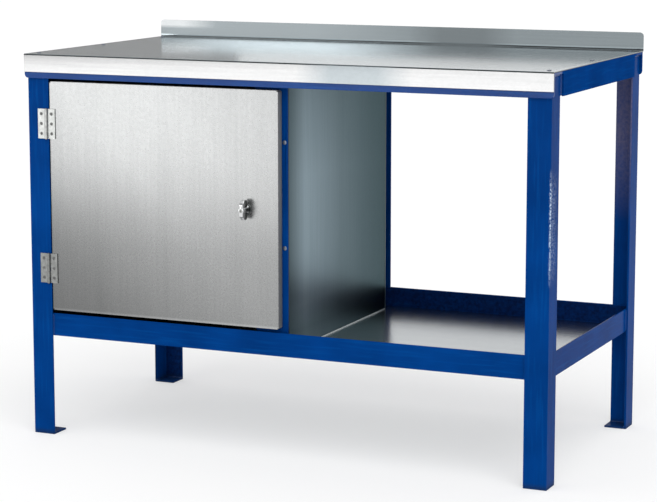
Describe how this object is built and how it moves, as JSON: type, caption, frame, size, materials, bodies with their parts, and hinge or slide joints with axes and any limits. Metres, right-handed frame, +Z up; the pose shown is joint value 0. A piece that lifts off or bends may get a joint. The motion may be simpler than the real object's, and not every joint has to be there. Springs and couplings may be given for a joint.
{
  "type": "workbench with cupboard",
  "caption": "Welded steel workbench with a lipped galvanised worktop, a sunken lower shelf and a lockable side cupboard under the top.",
  "frame": {"origin": "on the floor, at the middle of the bench's outer box", "axes": "+X to the right along the bench, +Y to the rear, +Z up; the door faces -Y"},
  "size_m": [1.2, 0.6496, 0.88],
  "materials": {
    "blue_paint": "gloss blue paint on rolled steel angle and flat bar",
    "galvanised_sheet": "zinc coated sheet steel with a fine spangle and soft reflections",
    "zinc_plate": "bright zinc plated steel",
    "chrome": "polished chrome plate"
  },
  "bodies": {
    "bench_frame": {"cupboard_panel_back": "galvanised_sheet", "cupboard_panel_left": "galvanised_sheet", "cupboard_panel_right": "galvanised_sheet", "door_post": "blue_paint", "foot_plate_front_left": "blue_paint", "foot_plate_front_right": "blue_paint", "foot_plate_rear_left": "blue_paint", "foot_plate_rear_right": "blue_paint", "hinge_lower_frame_leaf": "zinc_plate", "hinge_lower_frame_screw_1": "zinc_plate", "hinge_lower_frame_screw_2": "zinc_plate", "hinge_lower_frame_screw_3": "zinc_plate", "hinge_lower_pin": "zinc_plate", "hinge_upper_frame_leaf": "zinc_plate", "hinge_upper_frame_screw_1": "zinc_plate", "hinge_upper_frame_screw_2": "zinc_plate", "hinge_upper_frame_screw_3": "zinc_plate", "hinge_upper_pin": "zinc_plate", "leg_front_left": "blue_paint", "leg_front_right": "blue_paint", "leg_rear_left": "blue_paint", "leg_rear_right": "blue_paint", "lower_rail_front": "blue_paint", "lower_rail_left": "blue_paint", "lower_rail_rear": "blue_paint", "lower_rail_right": "blue_paint", "post_rivet_lower": "zinc_plate", "post_rivet_upper": "zinc_plate", "rear_post": "blue_paint", "shelf_sheet": "galvanised_sheet", "top_bearer_bay": "blue_paint", "top_bearer_cupboard": "blue_paint", "top_rail_front": "blue_paint", "top_rail_left": "blue_paint", "top_rail_rear": "blue_paint", "top_rail_right": "blue_paint", "worktop_rivet_left_front": "zinc_plate", "worktop_rivet_left_middle": "zinc_plate", "worktop_rivet_left_rear": "zinc_plate", "worktop_rivet_right_front": "zinc_plate", "worktop_rivet_right_middle": "zinc_plate", "worktop_rivet_right_rear": "zinc_plate", "worktop_sheet": "galvanised_sheet"},
    "door": {"door_tray": "galvanised_sheet", "hinge_lower_door_leaf": "zinc_plate", "hinge_lower_door_screw_1": "zinc_plate", "hinge_lower_door_screw_2": "zinc_plate", "hinge_lower_door_screw_3": "zinc_plate", "hinge_upper_door_leaf": "zinc_plate", "hinge_upper_door_screw_1": "zinc_plate", "hinge_upper_door_screw_2": "zinc_plate", "hinge_upper_door_screw_3": "zinc_plate", "lock_body": "chrome", "lock_nut": "zinc_plate"},
    "lock_wing_body": {"lock_wing": "chrome", "lock_cam": "zinc_plate", "lock_cam_screw": "zinc_plate"},
    "lock_plug_body": {"lock_plug": "zinc_plate"}
  },
  "joints": [
    {"name": "door_swing", "type": "hinge", "parent": "bench_frame", "child": "door", "pos_m": [-0.5495, -0.29765, 0.53085], "axis": [0, 0, -1], "range_deg": [0, 170]},
    {"name": "wing_turn", "type": "hinge", "parent": "door", "child": "lock_wing_body", "pos_m": [-0.06872, -0.29425, 0.53085], "axis": [0, -1, 0], "range_deg": [0, 90]},
    {"name": "key_turn", "type": "hinge", "parent": "lock_wing_body", "child": "lock_plug_body", "pos_m": [-0.06872, -0.31585, 0.53085], "axis": [0, -1, 0], "range_deg": [0, 90]}
  ]
}
